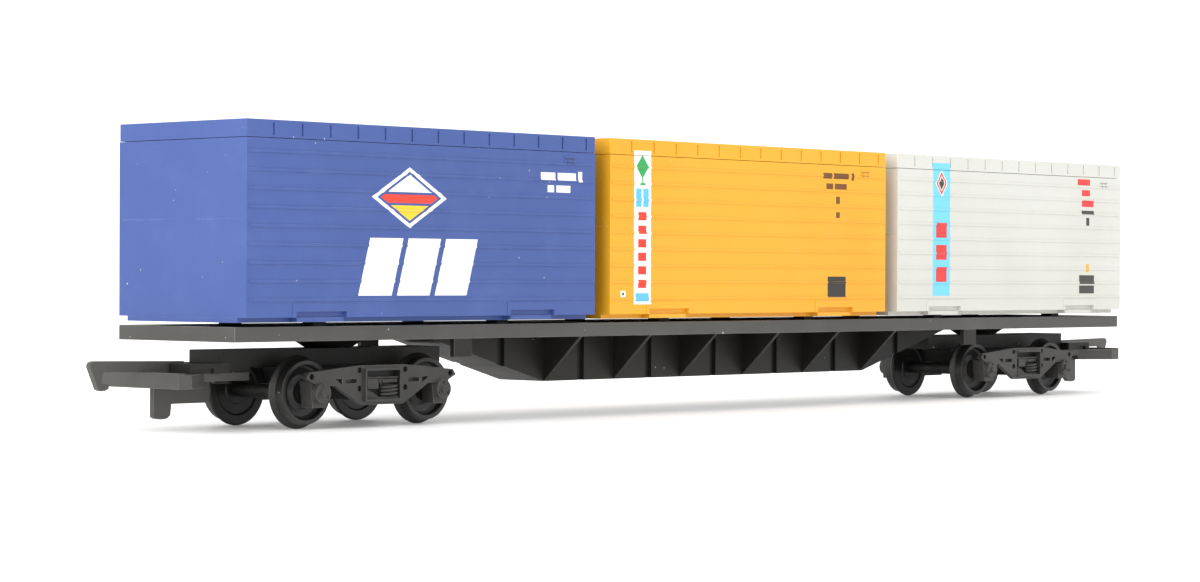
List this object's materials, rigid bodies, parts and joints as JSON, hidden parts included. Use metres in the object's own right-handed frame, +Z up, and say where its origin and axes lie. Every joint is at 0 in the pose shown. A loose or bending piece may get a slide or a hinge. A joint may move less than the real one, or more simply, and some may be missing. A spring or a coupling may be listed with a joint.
{
  "type": "toy model railway flat wagon with box containers",
  "caption": "Toy railway wagon: a long black flat wagon on swivelling bogies with hook couplings, carrying ribbed box containers that lift off and have lift-off lids.",
  "frame": {"origin": "on the floor, under the middle of the wagon", "axes": "+X along the wagon towards the white container, +Z up"},
  "size_m": [0.2848, 0.032, 0.0494],
  "materials": {
    "black_plastic": "satin moulded black plastic",
    "wheel_plastic": "satin moulded plastic",
    "steel": "blackened steel, slightly oily",
    "blue_plastic": "semi-gloss moulded plastic",
    "orange_plastic": "semi-gloss moulded plastic",
    "white_plastic": "semi-gloss moulded plastic"
  },
  "bodies": {
    "chassis": {"deck": "black_plastic", "centre_spine": "steel", "side_gussets": "black_plastic", "step_lugs": "black_plastic", "container_pads": "wheel_plastic", "bogie_seats": "black_plastic", "bogie_pin_1": "steel", "bogie_pin_2": "steel"},
    "bogie_1": {"bogie_1_frame": "black_plastic", "bogie_1_left_side_frame": "black_plastic", "bogie_1_right_side_frame": "black_plastic", "coupling_loop_1": "black_plastic", "coupling_rivet_1": "steel", "hook_pin_1": "steel"},
    "hook_1": {"coupling_hook_1": "black_plastic"},
    "bogie_2": {"bogie_2_frame": "black_plastic", "bogie_2_left_side_frame": "black_plastic", "bogie_2_right_side_frame": "black_plastic", "coupling_loop_2": "black_plastic", "coupling_rivet_2": "steel", "hook_pin_2": "steel"},
    "hook_2": {"coupling_hook_2": "black_plastic"},
    "wheelset_1": {"axle_1": "steel", "left_wheel_1": "wheel_plastic", "right_wheel_1": "wheel_plastic"},
    "wheelset_2": {"axle_2": "steel", "left_wheel_2": "wheel_plastic", "right_wheel_2": "wheel_plastic"},
    "wheelset_3": {"axle_3": "steel", "left_wheel_3": "wheel_plastic", "right_wheel_3": "wheel_plastic"},
    "wheelset_4": {"axle_4": "steel", "left_wheel_4": "wheel_plastic", "right_wheel_4": "wheel_plastic"},
    "blue_container": {"blue_container_body": "blue_plastic", "blue_container_base": "blue_plastic"},
    "blue_lid": {"blue_container_lid": "blue_plastic"},
    "orange_container": {"orange_container_body": "orange_plastic", "orange_container_base": "orange_plastic"},
    "orange_lid": {"orange_container_lid": "orange_plastic"},
    "white_container": {"white_container_body": "white_plastic", "white_container_base": "white_plastic"},
    "white_lid": {"white_container_lid": "white_plastic"}
  },
  "joints": [
    {"name": "bogie_1_swivel", "type": "hinge", "parent": "chassis", "child": "bogie_1", "pos_m": [-0.0925, 0, 0.0127], "axis": [0, 0, 1], "range_deg": [-20, 20]},
    {"name": "hook_1_lift", "type": "hinge", "parent": "bogie_1", "child": "hook_1", "pos_m": [-0.1249, 0, 0.0102], "axis": [0, 1, 0], "range_deg": [0, 20]},
    {"name": "bogie_2_swivel", "type": "hinge", "parent": "chassis", "child": "bogie_2", "pos_m": [0.0925, 0, 0.0127], "axis": [0, 0, 1], "range_deg": [-20, 20]},
    {"name": "hook_2_lift", "type": "hinge", "parent": "bogie_2", "child": "hook_2", "pos_m": [0.1249, 0, 0.0102], "axis": [0, -1, 0], "range_deg": [0, 20]},
    {"name": "wheelset_1_turn", "type": "hinge", "parent": "bogie_1", "child": "wheelset_1", "pos_m": [-0.106, 0, 0.006], "axis": [0, 1, 0], "continuous": true},
    {"name": "wheelset_2_turn", "type": "hinge", "parent": "bogie_1", "child": "wheelset_2", "pos_m": [-0.079, 0, 0.006], "axis": [0, 1, 0], "continuous": true},
    {"name": "wheelset_3_turn", "type": "hinge", "parent": "bogie_2", "child": "wheelset_3", "pos_m": [0.079, 0, 0.006], "axis": [0, 1, 0], "continuous": true},
    {"name": "wheelset_4_turn", "type": "hinge", "parent": "bogie_2", "child": "wheelset_4", "pos_m": [0.106, 0, 0.006], "axis": [0, 1, 0], "continuous": true},
    {"name": "blue_container_lift", "type": "slide", "parent": "chassis", "child": "blue_container", "axis": [0, 0, 1], "range_m": [0, 0.03]},
    {"name": "blue_lid_lift", "type": "slide", "parent": "blue_container", "child": "blue_lid", "axis": [0, 0, 1], "range_m": [0, 0.03]},
    {"name": "orange_container_lift", "type": "slide", "parent": "chassis", "child": "orange_container", "axis": [0, 0, 1], "range_m": [0, 0.03]},
    {"name": "orange_lid_lift", "type": "slide", "parent": "orange_container", "child": "orange_lid", "axis": [0, 0, 1], "range_m": [0, 0.03]},
    {"name": "white_container_lift", "type": "slide", "parent": "chassis", "child": "white_container", "axis": [0, 0, 1], "range_m": [0, 0.03]},
    {"name": "white_lid_lift", "type": "slide", "parent": "white_container", "child": "white_lid", "axis": [0, 0, 1], "range_m": [0, 0.03]}
  ]
}
